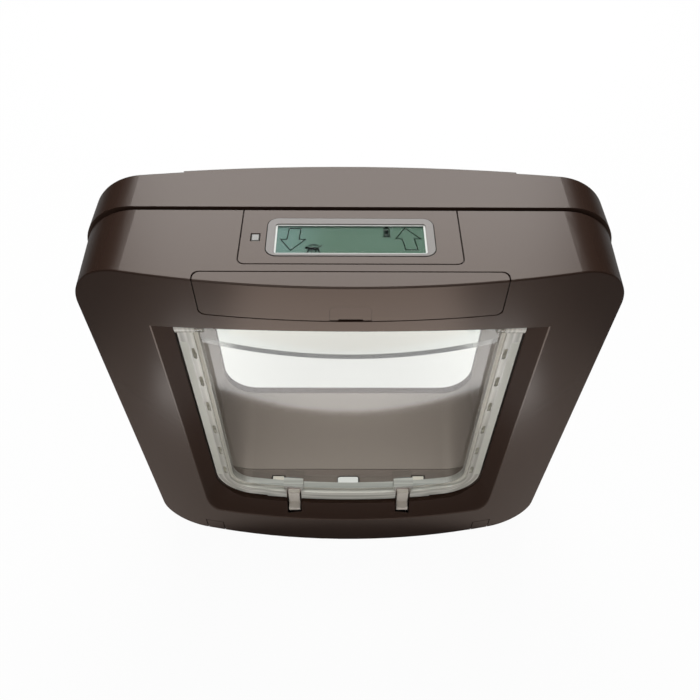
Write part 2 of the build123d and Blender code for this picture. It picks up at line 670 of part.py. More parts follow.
def edge_strip_outline():
    """Front view of the strip along the flap's right edge."""
    high = HINGE_Z - STRIP_TOP_DROP
    low = FLAP_BOTTOM + STRIP_BOTTOM_RISE
    middle = Pos(FLAP_WIDTH / 2 - STRIP_WIDTH / 2, (low + high) / 2)
    return middle * Rectangle(STRIP_WIDTH, high - low)


def make_flap_panel():
    deep = (FRONT_Y - REACH, REACH / 4)
    panel = prism_y(flap_outline(), *deep) & flap_layer(0, FLAP_DEPTH)
    panel -= prism_y(flap_step(None), *deep) & flap_layer(-OVERCUT, FLAP_DEPTH - SHEET_THICKNESS)
    head = HINGE_Z + FLAP_HEAD + OVERCUT
    panel -= prism_y(flap_step(head), *deep) & flap_layer(-OVERCUT, FLAP_DEPTH - UPPER_SHEET_THICKNESS)
    rebate = offset(flap_step(head), REBATE_WIDTH)
    panel -= prism_y(rebate, *deep) & flap_layer(-OVERCUT, REBATE_DEPTH)
    half = FLAP_WIDTH / 2
    strip = prism_y(edge_strip_outline(), *deep)
    panel = panel - strip - mirrored(strip)
    # Slots along both side rims
    slots = [HINGE_Z - STRIP_TOP_DROP - SLOT_LENGTH - i * SLOT_PITCH for i in range(SLOT_COUNT)]
    for z in slots:
        shape = Pos(half - SLOT_INSET, z) * SlotOverall(SLOT_LENGTH, SLOT_WIDTH, rotation=90)
        cut = prism_y(shape, *deep) & flap_layer(-OVERCUT, SLOT_DEPTH)
        panel = panel - cut - mirrored(cut)
    # Lip along the lower edge, and a notch with a keeper bridge over it for each front catch
    lip = Pos(0, FLAP_BOTTOM) * Rectangle(LIP_WIDTH, 2 * LIP_DROP)
    panel += prism_y(lip, *deep) & flap_layer(0, FLAP_DEPTH)
    rim_top = FLAP_BOTTOM + RIM_HEIGHT
    sheet_front = FLAP_DEPTH - SHEET_THICKNESS
    for side in (-1, 1):
        x = side * FRONT_CATCH_X
        keeper = Pos(x, rim_top + KEEPER_HEIGHT / 2) * Rectangle(KEEPER_WIDTH, KEEPER_HEIGHT)
        into_sheet = sheet_front + SHEET_THICKNESS / 2
        panel += prism_y(keeper, *deep) & flap_layer(KEEPER_SETBACK, into_sheet)
        notch = (x - NOTCH_WIDTH / 2, x + NOTCH_WIDTH / 2)
        panel -= block(notch, deep, (FLAP_BOTTOM - LIP_DROP - OVERCUT, rim_top))
        arch = block(notch, deep, (rim_top - OVERCUT, rim_top + KEEPER_ARCH))
        panel -= arch & flap_layer(-OVERCUT, sheet_front)
    # Hinge lugs with their pin holes
    for side in (-1, 1):
        panel += rod_x(LUG_RADIUS, side * (half - LUG_LENGTH), side * half, HINGE_Y, HINGE_Z)
        panel -= rod_x(PIN_RADIUS, side * pin_start(), side * (half + OVERCUT), HINGE_Y, HINGE_Z)
    return panel


def pin_start():
    """Distance from the middle to the inner end of a hinge pin."""
    return TUNNEL_WIDTH / 2 + BUSH_LENGTH - SEAM - PIN_LENGTH


def make_edge_strip(side):
    strip = prism_y(edge_strip_outline(), FRONT_Y - REACH, REACH / 4) & flap_layer(0, FLAP_DEPTH)
    return strip if side > 0 else mirrored(strip)


def make_flap_pin(side):
    start = pin_start()
    return rod_x(PIN_RADIUS, side * start, side * (start + PIN_LENGTH), HINGE_Y, HINGE_Z)


def make_hinge_bush(side):
    wall = TUNNEL_WIDTH / 2
    end = wall + BUSH_LENGTH
    bush = rod_x(BUSH_RADIUS, side * wall, side * end, HINGE_Y, HINGE_Z)
    bore = (side * (wall - OVERCUT), side * (end + OVERCUT))
    return bush - rod_x(PIN_RADIUS + PIN_CLEARANCE, *bore, HINGE_Y, HINGE_Z)


def make_front_latch():
    """Bar with two L-shaped catches that stand in the flap's notches."""
    y_range = (FRONT_CATCH_Y - FRONT_CATCH_THICKNESS / 2, FRONT_CATCH_Y + FRONT_CATCH_THICKNESS / 2)
    tip = FLAP_BOTTOM + FRONT_CATCH_REACH
    bar_low = FRONT_BAR_TOP - CATCH_BAR_HEIGHT
    reach = FRONT_CATCH_X + CATCH_WIDTH / 2
    bar_depth = (y_range[0], y_range[1] + FRONT_CATCH_THICKNESS / 2)
    latch = block((-reach, reach), bar_depth, (bar_low, FRONT_BAR_TOP))
    foot_top = FLOOR_Z - FRONT_CATCH_REACH
    for side in (-1, 1):
        x_range = (side * FRONT_CATCH_X - CATCH_WIDTH / 2, side * FRONT_CATCH_X + CATCH_WIDTH / 2)
        latch += block(x_range, y_range, (bar_low, tip))
        foot = block(x_range, (y_range[0] - FRONT_CATCH_FOOT, y_range[1]),
                     (foot_top - FRONT_CATCH_THICKNESS, foot_top))
        latch += foot
    return latch


def make_rear_latch():
    """Bar with two catches that lie flush in the tunnel floor behind the flap."""
    half = REAR_CATCH_THICKNESS / 2
    y_range = (REAR_CATCH_Y - half, REAR_CATCH_Y + half)
    bar_low = REAR_BAR_TOP - CATCH_BAR_HEIGHT
    reach = REAR_CATCH_X + CATCH_WIDTH / 2
    latch = block((-reach, reach), y_range, (bar_low, REAR_BAR_TOP))
    for side in (-1, 1):
        x_range = (side * REAR_CATCH_X - CATCH_WIDTH / 2, side * REAR_CATCH_X + CATCH_WIDTH / 2)
        latch += block(x_range, y_range, (bar_low, FLOOR_Z - REAR_CATCH_SINK))
    return latch


def make_plunger(x, y, bar_top):
    top = bar_top - CATCH_BAR_HEIGHT
    return rod_z(PLUNGER_RADIUS, top - PLUNGER_LENGTH, top, x, y)


def make_actuator(x, y, bar_top):
    """Coil housing on the floor of the inner housing with a bore for the plunger."""
    floor = BOTTOM + FRAME_WALL
    top = bar_top - CATCH_BAR_HEIGHT - ACTUATOR_GAP
    x_range = (x - ACTUATOR_WIDTH / 2, x + ACTUATOR_WIDTH / 2)
    case = block(x_range, (y - ACTUATOR_DEPTH / 2, y + ACTUATOR_DEPTH / 2), (floor, top))
    case = fillet(case.edges().filter_by(Axis.Z), ACTUATOR_ROUND)
    bore = (floor + ACTUATOR_GAP, top + OVERCUT)
    return case - rod_z(PLUNGER_RADIUS + PLUNGER_CLEARANCE, *bore, x, y)


def screw_cover_space(x, grow):
    """Room for a screw cover at the lower front edge, below the opening's corner."""
    half = SCREW_COVER_WIDTH / 2 - COVER_SEAM + grow
    high = BOTTOM + SCREW_COVER_HEIGHT - COVER_SEAM + grow
    return block((x - half, x + half), (-REACH, REACH), (-REACH, high)) - behind_front(SCREW_COVER_DEPTH)


def make_screw_cover(side):
    return rounded_inner_form() & screw_cover_space(side * SCREW_X, 0)


def make_frame_screws():
    """Long screws from the inner housing into the outer frame."""
    screws = []
    for x, z in SCREW_PLACES:
        shank = rod_y(SCREW_RADIUS, SCREW_SEAT_Y, SCREW_SEAT_Y + SCREW_LENGTH, x, z)
        screws.append(shank + rod_y(SCREW_HEAD_RADIUS, SCREW_SEAT_Y - SCREW_HEAD, SCREW_SEAT_Y, x, z))
    return Compound(children=screws)


def make_case_screws():
    """Small screws that close the inner housing from the door side."""
    screws = []
    for x, z in case_screw_places():
        seat = INNER_BACK_Y - CASE_SCREW_HEAD
        shank = rod_y(CASE_SCREW_RADIUS, seat - CASE_SCREW_LENGTH, seat, x, z)
        screws.append(shank + rod_y(CASE_SCREW_HEAD_RADIUS, seat, INNER_BACK_Y, x, z))
    return Compound(children=screws)


def make_nodes():
    """Every piece of the cat flap by its name."""
    nodes = {
        "inner_housing": make_inner_housing(),
        "inner_back_plate": make_inner_back_plate(),
        "outer_frame": make_outer_frame(),
        "control_panel": make_control_panel(),
        "lcd_bezel": make_lcd_bezel(),
        "lcd_glass": make_lcd_glass(),
        "lcd_module": make_lcd_module(),
        "control_board": make_control_board(),
        "light_sensor": make_light_sensor(),
        "battery_cover": make_battery_cover(),
        "battery_tray": make_battery_tray(),
        "battery_contacts": make_battery_contacts(),
        "antenna_coil": make_antenna_coil(),
        "flap_panel": make_flap_panel(),
        "front_latch": make_front_latch(),
        "front_plunger": make_plunger(0, FRONT_CATCH_Y, FRONT_BAR_TOP),
        "front_actuator": make_actuator(0, FRONT_CATCH_Y, FRONT_BAR_TOP),
        "rear_latch": make_rear_latch(),
        "rear_plunger": make_plunger(REAR_ACTUATOR_X, REAR_CATCH_Y, REAR_BAR_TOP),
        "rear_actuator": make_actuator(REAR_ACTUATOR_X, REAR_CATCH_Y, REAR_BAR_TOP),
        "frame_screws": make_frame_screws(),
        "case_screws": make_case_screws(),
    }
    for number, cell in enumerate(make_cells(), start=1):
        nodes[f"battery_cell_{number}"] = cell
    for name, side in (("left", -1), ("right", 1)):
        nodes[f"edge_strip_{name}"] = make_edge_strip(side)
        nodes[f"flap_pin_{name}"] = make_flap_pin(side)
        nodes[f"hinge_bush_{name}"] = make_hinge_bush(side)
        nodes[f"screw_cover_{name}"] = make_screw_cover(side)
    return nodes


os.makedirs("parts", exist_ok=True)
for node_name, solid in make_nodes().items():
    export_step(solid, os.path.join("parts", node_name + ".step"))
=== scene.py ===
import json
import math

import bpy
from mathutils import Matrix, Vector


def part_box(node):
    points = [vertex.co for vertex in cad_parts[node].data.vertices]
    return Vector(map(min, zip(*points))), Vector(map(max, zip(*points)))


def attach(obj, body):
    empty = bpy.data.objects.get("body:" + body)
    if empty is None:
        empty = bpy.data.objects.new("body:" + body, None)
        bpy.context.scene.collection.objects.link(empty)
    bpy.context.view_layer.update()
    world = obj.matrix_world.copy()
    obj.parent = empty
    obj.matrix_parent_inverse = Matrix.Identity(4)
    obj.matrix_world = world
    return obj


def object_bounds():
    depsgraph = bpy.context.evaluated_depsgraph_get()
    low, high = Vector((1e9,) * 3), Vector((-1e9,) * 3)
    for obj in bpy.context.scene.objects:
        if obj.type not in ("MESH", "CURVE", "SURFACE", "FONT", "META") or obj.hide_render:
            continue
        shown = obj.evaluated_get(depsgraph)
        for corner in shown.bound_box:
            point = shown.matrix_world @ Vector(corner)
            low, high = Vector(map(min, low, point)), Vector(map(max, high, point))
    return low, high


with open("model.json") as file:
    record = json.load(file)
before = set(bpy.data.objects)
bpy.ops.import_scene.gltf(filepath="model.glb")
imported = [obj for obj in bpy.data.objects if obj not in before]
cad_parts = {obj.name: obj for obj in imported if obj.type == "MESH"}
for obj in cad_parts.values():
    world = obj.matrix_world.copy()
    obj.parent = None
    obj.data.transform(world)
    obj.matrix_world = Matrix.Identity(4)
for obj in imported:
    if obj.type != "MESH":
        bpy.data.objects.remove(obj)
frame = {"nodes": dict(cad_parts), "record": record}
CAD_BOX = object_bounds()
NODES = frame["nodes"]
MM = 0.001
SMOOTH_ANGLE = math.radians(28)

# Camera: found by fitting the frame's corners and edges, lengths in millimetres, angles in degrees
IMAGE_SIZE = 700
FOCAL_PIXELS = 697.7
SENSOR_WIDTH = 36.0
CAMERA_PLACE = (-2.1, -213.3, 281.0)
CAMERA_PITCH = 50.97
CAMERA_YAW = -0.67
CAMERA_ROLL = -0.64
NEAREST_SEEN_M = 0.01
FARTHEST_SEEN_M = 100

# Moulded plastics: colours as they show on a screen, 0 to 255, lengths in millimetres
DARK_BROWN = (55, 40, 33)
# The tunnel's taupe is paler than the frame's brown as painted light from behind the object.
TUNNEL_LIT_TAUPE = (118, 109, 103)
# The collar's taupe is paler as painted light, as on the tunnel behind it.
COLLAR_LIT_TAUPE = (86, 75, 70)
WARM_SHEEN = (1.0, 0.88, 0.79, 1)
FRAME_ROUGHNESS = 0.27
FRAME_GLOSS = 0.3
FRAME_GRAIN = 0.1
TUNNEL_ROUGHNESS = 0.36
TUNNEL_GLOSS = 0.6
TUNNEL_GRAIN = 0.0
GRAIN_SCALE = 2600
GRAIN_DEPTH = 0.05
GRAIN_DETAIL = 3.0
FINE_GRAIN_SCALE = 1800
FINE_GRAIN = 0.06
FINE_GRAIN_DEPTH = 0.04
EDGE_RADIUS = 0.25
EDGE_SAMPLES = 4

# Screen colour and roughness of the slots that need nothing more
PLAIN_SLOTS = {
    "grey_plastic": ((96, 89, 83), 0.35),
    "board": ((30, 84, 48), 0.45),
    "frosted_plastic": ((203, 203, 191), 0.4),
    "pale_plastic": ((218, 210, 199), 0.4),
    "bush_plastic": ((40, 38, 36), 0.4),
    "bright_steel": ((200, 200, 204), 0.28),
    "copper_winding": ((178, 98, 52), 0.35),
    "cell_can": ((52, 70, 80), 0.3),
}
METAL_SLOTS = ("bright_steel", "copper_winding")
SENSOR_GREY = (122, 121, 116)
SENSOR_ROUGHNESS = 0.3

# Reveal of the opening, in millimetres: less glossy than the bowed front that it cuts into, as painted
# shade in the recess
BOW_CENTRE_Y = 393.3
BOW_RADIUS = 436.0
REVEAL_HALF = 78.5
REVEAL_BOTTOM = -80.5
REVEAL_TOP = 82.2
REVEAL_BACK_Y = -31.5
REVEAL_SKIN = 0.3
REVEAL_SHADE_GLOSS = 0.03

# Collar of the tunnel behind the reveal, in millimetres: painted light makes it paler than the frame
COLLAR_HALF = 72.0
COLLAR_HALF_HEIGHT = 85.0
COLLAR_BACK_Y = -15.0

# Frosted rim of the flap, in millimetres: where the clear sheet ends and how round its corners are
SHEET_HALF = 61.4
SHEET_BOTTOM = -57.0
SHEET_CORNER = 9.3
FROST_EDGE = 0.15
KEEPER_X = 29.5
KEEPER_HALF = 5.3
KEEPER_TOP = -53.9
KEEPER_FROST = 0.6
RIM_DARK = (196, 194, 184)
RIM_MIDDLE = (217, 214, 204)
RIM_PALE = (240, 237, 228)
RIM_ROUGHNESS = 0.25
RIM_IOR = 1.46
RIM_TRANSMISSION = 0.2
RIM_BAND_SCALE = 600.0
RIM_BAND_DETAIL = 1.0
RIM_BAND_LOW = 0.35
RIM_BAND_HIGH = 0.65

# Clear sheet of the flap: its tint, its sheen, and the grey of the step across it
SHEET_CLEAR = (250, 250, 248)
SHEET_ABSORPTION = (0.58, 0.64, 0.6, 1)
SHEET_DENSITY = 95.0
SHEEN_IOR = 1.5
SHEEN_ROUGHNESS = 0.08
STEP_GREY = (112, 120, 120)
STEP_FLAT = 0.7
STEP_STEEP = 0.5
STEP_DARK_HALF = 44.0
STEP_PALE_HALF = 58.0
STEP_PALE = 0.7

# Display: greener to the right of one place, palest at the other, in millimetres
DISPLAY_GREEN = (99, 129, 111)
DISPLAY_GREEN_X = -5.0
DISPLAY_PALE = (121, 154, 145)
DISPLAY_PALE_X = -29.0
DISPLAY_ROUGHNESS = 0.5
WINDOW_GREY = (60, 66, 63)
WINDOW_ROUGHNESS = 0.08
WINDOW_IOR = 1.45
WINDOW_ALPHA = 0.04
INK = (12, 18, 16)
INK_ROUGHNESS = 0.6
SURROUND_WHITE = (226, 230, 224)
SURROUND_ROUGHNESS = 0.45
SURROUND_WIDTH = 0.7

# Symbols on the display, in millimetres: the shapes of an icon are measured from its own place
ICON_LIFT = 0.02
ICON_THICKNESS = 0.05
LINE_WIDTH = 0.4
DOWN_ARROW = (-22.2, -22.8)
DOWN_ARROW_LEAN = 1.2
UP_ARROW = (20.6, -10.3)
UP_ARROW_LEAN = 2.0
ARROW_LENGTH = 12.0
ARROW_HEAD = 6.0
ARROW_HEAD_HALF = 4.7
ARROW_SHAFT_HALF = 2.25
BATTERY_ICON = (13.6, -12.6)
BATTERY_CASE = (2.0, 4.0)
BATTERY_BLOCKS = ((2.5, 1.2, 0.8), (-0.1, 1.3, 2.8), (-2.6, 3.2, 0.5))
ANIMAL_ICON = (-13.8, -21.7)
ANIMAL_BODY = ((0.0, -0.2, 2.2, 0.85), (-2.4, 0.3, 0.8, 0.7))
ANIMAL_LEGS = ((-1.6, -0.6), (-0.9, 0.3), (1.1, -0.3), (1.7, 0.6))
LEG_TOP = -0.5
LEG_FOOT = -2.1
LEG_WIDTH = 0.6
TAIL_START = (1.8, 0.2)
TAIL_END = (3.1, 1.7)
TAIL_WIDTH = 0.42
ARC_RADII = (1.2, 1.9)
ARC_RISE = 0.7
ARC_FLATTEN = 0.8
ARC_ANGLES = range(20, 161, 20)
ARC_WIDTH = 0.3
ELLIPSE_POINTS = 20

# World: strength as a light, and how far sideways a direction points where glossy pieces see dark or white
WORLD_LIGHT = 0.25
SIDE_DARK = 0.55
SIDE_PALE = 0.25

# Floor, in metres: a pool of light that only glossy pieces see, shade under and behind the object
FLOOR_SIZE = 8
FLOOR_ROUGHNESS = 0.9
FLOOR_PAINT = 0.8
FLOOR_DARK = 0.6
FLOOR_GLOW = 0.96
POOL_HALF = 0.2
POOL_FADE = 0.05
POOL_GLOW = 0.5
POOL_TINT = (1.0, 0.86, 0.77)
SHADE_HALF_X = 0.1
SHADE_HALF_Y = 0.052
SHADE_FULL = 0.9
SHADE_NONE = 1.3
BACK_SHADE = 0.25
BACK_SHADE_Y = 0.07
BACK_SHADE_HALF_X = 0.15
BACK_SHADE_HALF_Y = 0.11
BACK_SHADE_CORE = 0.15

# Lamps: name, place, target, width and height in metres, watts, and what sets the lamp apart
LAMPS = (
    ("overhead softbox", (0, 0.62, 0.78), (0, 0, 0.08), (0.8, 0.55), 7.5, {}),
    ("back softbox", (0, 0.9, 0.3), (0, 0, -0.06), (0.6, 0.4), 3.5, {"glossy": False}),
    ("tunnel light", (0, 0.06, 0.07), (0, 0.055, -0.08), (0.09, 0.03), 0.034,
     {"glossy": False, "spread": 62}),
    ("front fill", (-0.2, -1.1, 0.7), (0, 0, 0), (0.9, 0.9), 3.2, {}),
    ("near reflector", (0, -0.137, -0.104), (0, -0.137, 1), (0.33, 0.056), 0.26, {"diffuse": False}),
    ("far reflector", (0, -0.2275, -0.104), (0, -0.2275, 1), (0.24, 0.125), 0.338,
     {"diffuse": False, "tint": POOL_TINT}),
)


def linear(red, green, blue):
    """Colour for a shader socket from a screen colour, 0 to 255."""
    def one(level):
        share = level / 255
        return share / 12.92 if share <= 0.04045 else ((share + 0.055) / 1.055) ** 2.4
    return (one(red), one(green), one(blue), 1.0)


def new_material(name, colour, roughness, **sockets):
    """Principled material from a screen colour and plain values on its sockets, with its shader."""
    material = bpy.data.materials.new(name)
    material.use_nodes = True
    shader = material.node_tree.nodes["Principled BSDF"]
    shader.inputs["Base Color"].default_value = linear(*colour)
    shader.inputs["Roughness"].default_value = roughness
    for socket, given in sockets.items():
        shader.inputs[socket.replace("_", " ")].default_value = given
    return material, shader


def value(tree, operation, first, second=0.0):
    """Maths node on sockets or plain numbers; returns its result."""
    node = tree.nodes.new("ShaderNodeMath")
    node.operation = operation
    for socket, given in zip(node.inputs, (first, second)):
        if isinstance(given, (int, float)):
            socket.default_value = given
        else:
            tree.links.new(given, socket)
    return node.outputs[0]


def product(tree, first, *others):
    """All the amounts multiplied."""
    for other in others:
        first = value(tree, "MULTIPLY", first, other)
    return first


def distance(tree, first, second):
    """Length of the slanting side of a right triangle."""
    squares = [value(tree, "POWER", side, 2) for side in (first, second)]
    return value(tree, "SQRT", value(tree, "ADD", *squares))


def ramp(tree, amount, start, end):
    """Smooth step from 0 to 1 while an amount goes from one value to another."""
    node = tree.nodes.new("ShaderNodeMapRange")
    node.interpolation_type = "SMOOTHSTEP"
    node.inputs["From Min"].default_value = start
    node.inputs["From Max"].default_value = end
    tree.links.new(amount, node.inputs["Value"])
    return node.outputs["Result"]


def between(tree, amount, low_mm, high_mm):
    """1 while an amount lies between two places in millimetres, and 0 elsewhere."""
    inside = value(tree, "COMPARE", amount, (low_mm + high_mm) / 2 * MM)
    inside.node.inputs[2].default_value = (high_mm - low_mm) / 2 * MM
    return inside


def mixed(tree, share, first, second):
    """Mix of two shaders."""
    node = tree.nodes.new("ShaderNodeMixShader")
    for socket, given in zip(node.inputs, (share, first, second)):
        tree.links.new(given, socket)
    return node.outputs[0]


def two_colours(tree, share, first, second):
    """Colour that goes from the first to the second screen colour as a share goes from 0 to 1."""
    blend = tree.nodes.new("ShaderNodeValToRGB")
    for element, colour in zip(blend.color_ramp.elements, (first, second)):
        element.color = linear(*colour)
    tree.links.new(share, blend.inputs[0])
    return blend.outputs["Color"]


def light_path(tree, *kinds):
    """Socket that is 1 for the named kinds of ray."""
    path = tree.nodes.new("ShaderNodeLightPath")
    seen = path.outputs[f"Is {kinds[0]} Ray"]
    for kind in kinds[1:]:
        seen = value(tree, "MAXIMUM", seen, path.outputs[f"Is {kind} Ray"])
    return seen


def split_place(tree, kind="Object"):
    """The three coordinates of a point, by default in the part's own frame."""
    place = tree.nodes.new("ShaderNodeTexCoord")
    split = tree.nodes.new("ShaderNodeSeparateXYZ")
    tree.links.new(place.outputs[kind], split.inputs[0])
    return split.outputs


def own_place(tree):
    """Distance from the middle plane, depth and height of a point of the part."""
    x, y, z = split_place(tree)
    return value(tree, "ABSOLUTE", x), y, z


def add_grain(material, shader, scale, strength, depth_mm):
    """Fine moulded texture: small bumps from noise in the part's own coordinates."""
    tree = material.node_tree
    place = tree.nodes.new("ShaderNodeTexCoord")
    noise = tree.nodes.new("ShaderNodeTexNoise")
    noise.inputs["Scale"].default_value = scale
    noise.inputs["Detail"].default_value = GRAIN_DETAIL
    bump = tree.nodes.new("ShaderNodeBump")
    bump.inputs["Strength"].default_value = strength
    bump.inputs["Distance"].default_value = depth_mm * MM
    tree.links.new(place.outputs["Object"], noise.inputs["Vector"])
    tree.links.new(noise.outputs["Fac"], bump.inputs["Height"])
    tree.links.new(bump.outputs["Normal"], shader.inputs["Normal"])
    return bump


def add_fine_grain(material, shader):
    """Grain of the small pieces."""
    add_grain(material, shader, FINE_GRAIN_SCALE, FINE_GRAIN, FINE_GRAIN_DEPTH)


def make_moulded_plastic(name, colour, roughness, gloss, grain):
    """Moulded plastic with a warm sheen and soft edges."""
    material, shader = new_material(name, colour, roughness, Specular_IOR_Level=gloss,
                                    Specular_Tint=WARM_SHEEN)
    bump = add_grain(material, shader, GRAIN_SCALE, grain, GRAIN_DEPTH)
    bevel = material.node_tree.nodes.new("ShaderNodeBevel")
    bevel.samples = EDGE_SAMPLES
    bevel.inputs["Radius"].default_value = EDGE_RADIUS * MM
    material.node_tree.links.new(bevel.outputs["Normal"], bump.inputs["Normal"])
    return material, shader


def collar_share(tree):
    """1 on the collar of the tunnel behind the flap and 0 on the rest of the housing."""
    aside, depth, height = own_place(tree)
    return product(tree, between(tree, aside, -COLLAR_HALF, COLLAR_HALF),
                   between(tree, height, -COLLAR_HALF_HEIGHT, COLLAR_HALF_HEIGHT),
                   between(tree, depth, REVEAL_BACK_Y, COLLAR_BACK_Y))


def reveal_share(tree):
    """1 on the sloping reveal of the opening and 0 on the bowed front round it."""
    aside, depth, height = own_place(tree)
    radius = distance(tree, aside, value(tree, "SUBTRACT", depth, BOW_CENTRE_Y * MM))
    return product(tree, value(tree, "LESS_THAN", radius, (BOW_RADIUS - REVEAL_SKIN) * MM),
                   value(tree, "LESS_THAN", depth, REVEAL_BACK_Y * MM),
                   value(tree, "LESS_THAN", aside, REVEAL_HALF * MM),
                   between(tree, height, REVEAL_BOTTOM, REVEAL_TOP))


def make_frame_plastic():
    """Dark brown plastic; painted shade makes the reveal less glossy, painted light the collar paler."""
    material, shader = make_moulded_plastic("dark brown plastic", DARK_BROWN, FRAME_ROUGHNESS, FRAME_GLOSS,
                                            FRAME_GRAIN)
    tree = material.node_tree
    # Painted shade: the reveal's gloss is turned down where the recess lies in shade.
    reveal_shade = product(tree, reveal_share(tree), FRAME_GLOSS - REVEAL_SHADE_GLOSS)
    tree.links.new(value(tree, "SUBTRACT", FRAME_GLOSS, reveal_shade), shader.inputs["Specular IOR Level"])
    # Painted light: the tunnel's collar gets a paler colour.
    colour = two_colours(tree, collar_share(tree), DARK_BROWN, COLLAR_LIT_TAUPE)
    tree.links.new(colour, shader.inputs["Base Color"])
    return material


def sheet_distance(tree):
    """How far outside the inner part of the clear sheet a point lies, round its corners."""
    aside, _, height = own_place(tree)
    across = value(tree, "SUBTRACT", aside, (SHEET_HALF - SHEET_CORNER) * MM)
    below = value(tree, "SUBTRACT", (SHEET_BOTTOM + SHEET_CORNER) * MM, height)
    return distance(tree, value(tree, "MAXIMUM", across, 0.0), value(tree, "MAXIMUM", below, 0.0))


def rim_bands(tree):
    """Paler and darker lines that run along the frosted rim, as light bends in it."""
    _, depth, _ = own_place(tree)
    place = tree.nodes.new("ShaderNodeCombineXYZ")
    tree.links.new(sheet_distance(tree), place.inputs["X"])
    tree.links.new(depth, place.inputs["Y"])
    noise = tree.nodes.new("ShaderNodeTexNoise")
    noise.inputs["Scale"].default_value = RIM_BAND_SCALE
    noise.inputs["Detail"].default_value = RIM_BAND_DETAIL
    tree.links.new(place.outputs[0], noise.inputs["Vector"])
    pale = ramp(tree, noise.outputs["Fac"], RIM_BAND_LOW, RIM_BAND_HIGH)
    return two_colours(tree, pale, RIM_DARK, RIM_PALE)


def rim_share(tree):
    """1 on the flap's frosted rim, less on the keepers over the catches, and 0 on its clear sheet."""
    aside, _, height = own_place(tree)
    rim = ramp(tree, sheet_distance(tree), (SHEET_CORNER - FROST_EDGE) * MM,
               (SHEET_CORNER + FROST_EDGE) * MM)
    keeper = product(tree, between(tree, aside, KEEPER_X - KEEPER_HALF, KEEPER_X + KEEPER_HALF),
                     value(tree, "LESS_THAN", height, KEEPER_TOP * MM), KEEPER_FROST)
    return value(tree, "MAXIMUM", rim, keeper)


def clear_surface(tree, outside):
    """See-through sheet with a sheen on its outer sides."""
    clear = tree.nodes.new("ShaderNodeBsdfTransparent")
    clear.inputs["Color"].default_value = linear(*SHEET_CLEAR)
    sheen = tree.nodes.new("ShaderNodeBsdfGlossy")
    sheen.inputs["Roughness"].default_value = SHEEN_ROUGHNESS
    fresnel = tree.nodes.new("ShaderNodeFresnel")
    fresnel.inputs["IOR"].default_value = SHEEN_IOR
    share = product(tree, fresnel.outputs[0], outside)
    return mixed(tree, share, clear.outputs[0], sheen.outputs[0])


def step_share(tree, normal):
    """1 on the steep faces of the step across the sheet, less towards its ends, and 0 on flat faces."""
    turn = tree.nodes.new("ShaderNodeVectorTransform")
    turn.vector_type = "NORMAL"
    turn.convert_from = "WORLD"
    turn.convert_to = "OBJECT"
    split = tree.nodes.new("ShaderNodeSeparateXYZ")
    tree.links.new(normal, turn.inputs[0])
    tree.links.new(turn.outputs[0], split.inputs[0])
    steep = ramp(tree, value(tree, "ABSOLUTE", split.outputs["Y"]), STEP_FLAT, STEP_STEEP)
    aside, _, _ = own_place(tree)
    pale = product(tree, ramp(tree, aside, STEP_DARK_HALF * MM, STEP_PALE_HALF * MM), STEP_PALE)
    return product(tree, steep, value(tree, "SUBTRACT", 1.0, pale))


def make_clear_plastic():
    """Clear flap: see-through sheet with a sheen, grey along its cut edges, frosted on its rim."""
    material, frosted = new_material("clear flap", RIM_MIDDLE, RIM_ROUGHNESS, IOR=RIM_IOR,
                                     Transmission_Weight=RIM_TRANSMISSION)
    tree = material.node_tree
    tree.links.new(rim_bands(tree), frosted.inputs["Base Color"])
    facing = tree.nodes.new("ShaderNodeNewGeometry")
    outside = value(tree, "SUBTRACT", 1.0, facing.outputs["Backfacing"])
    edge = tree.nodes.new("ShaderNodeBsdfDiffuse")
    edge.inputs["Color"].default_value = linear(*STEP_GREY)
    on_step = step_share(tree, facing.outputs["True Normal"])
    sheet = mixed(tree, on_step, clear_surface(tree, outside), edge.outputs[0])
    surface = mixed(tree, product(tree, rim_share(tree), outside), sheet, frosted.outputs[0])
    tint = tree.nodes.new("ShaderNodeVolumeAbsorption")
    tint.inputs["Color"].default_value = SHEET_ABSORPTION
    tint.inputs["Density"].default_value = SHEET_DENSITY
    result = tree.nodes["Material Output"]
    tree.links.new(surface, result.inputs["Surface"])
    tree.links.new(tint.outputs[0], result.inputs["Volume"])
    return material


def make_display():
    """Green display, paler and bluer towards its left end."""
    material, shader = new_material("display", DISPLAY_GREEN, DISPLAY_ROUGHNESS, Specular_IOR_Level=0.0)
    tree = material.node_tree
    x, _, _ = split_place(tree)
    pale = ramp(tree, x, DISPLAY_GREEN_X * MM, DISPLAY_PALE_X * MM)
    tree.links.new(two_colours(tree, pale, DISPLAY_GREEN, DISPLAY_PALE), shader.inputs["Base Color"])
    add_fine_grain(material, shader)
    return material


def make_materials():
    """One material for each slot of the record, and one for the sensor's window."""
    made = {"dark_plastic": make_frame_plastic()}
    # The tunnel's plastic takes the paler taupe, painted light from behind.
    made["black_plastic"], _ = make_moulded_plastic("dark inner plastic", TUNNEL_LIT_TAUPE, TUNNEL_ROUGHNESS,
                                                    TUNNEL_GLOSS, TUNNEL_GRAIN)
    for slot, (colour, roughness) in PLAIN_SLOTS.items():
        made[slot], shader = new_material(slot.replace("_", " "), colour, roughness)
        if slot in METAL_SLOTS:
            shader.inputs["Metallic"].default_value = 1.0
        add_fine_grain(made[slot], shader)
    made["light_sensor"], _ = new_material("sensor window", SENSOR_GREY, SENSOR_ROUGHNESS)
    made["display"] = make_display()
    made["display_glass"], _ = new_material("display window", WINDOW_GREY, WINDOW_ROUGHNESS, IOR=WINDOW_IOR,
                                            Alpha=WINDOW_ALPHA)
    made["clear_plastic"] = make_clear_plastic()
    return made


def dress_nodes(materials):
    """Give every CAD node its own or its slot's material, and smooth shading between sharp edges."""
    slot_of = {row["node"]: row["material_slot"] for row in frame["record"]["subparts"]}
    for name, node in NODES.items():
        mesh = node.data
        mesh.materials.clear()
        mesh.materials.append(materials.get(name, materials[slot_of[name]]))
        mesh.shade_smooth()
        mesh.set_sharp_from_angle(angle=SMOOTH_ANGLE)


